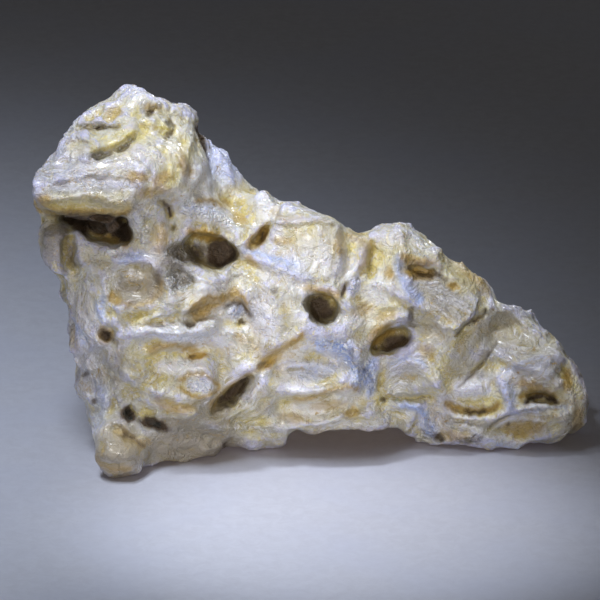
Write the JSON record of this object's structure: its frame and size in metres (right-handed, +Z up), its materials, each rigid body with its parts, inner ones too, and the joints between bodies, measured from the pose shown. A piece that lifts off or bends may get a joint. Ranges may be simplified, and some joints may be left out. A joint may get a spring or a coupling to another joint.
{
  "type": "wind-worn viewing stone",
  "caption": "Wind-worn chalcedony viewing stone with a high overhanging head, a low tail, deep wind pits and an arch under its belly; it stands on a flat base.",
  "frame": {"origin": "middle of the bounding box in plan, on the flat resting base", "axes": "+X to the right along the length, from the high head to the low tail; +Y from the show side to the back; +Z up"},
  "size_m": [0.0956, 0.0444, 0.0639],
  "materials": {
    "stone": "waxy, wind-polished, milky white chalcedony with amber and grey tints"
  },
  "bodies": {
    "root": {"stone": "stone"}
  },
  "joints": []
}
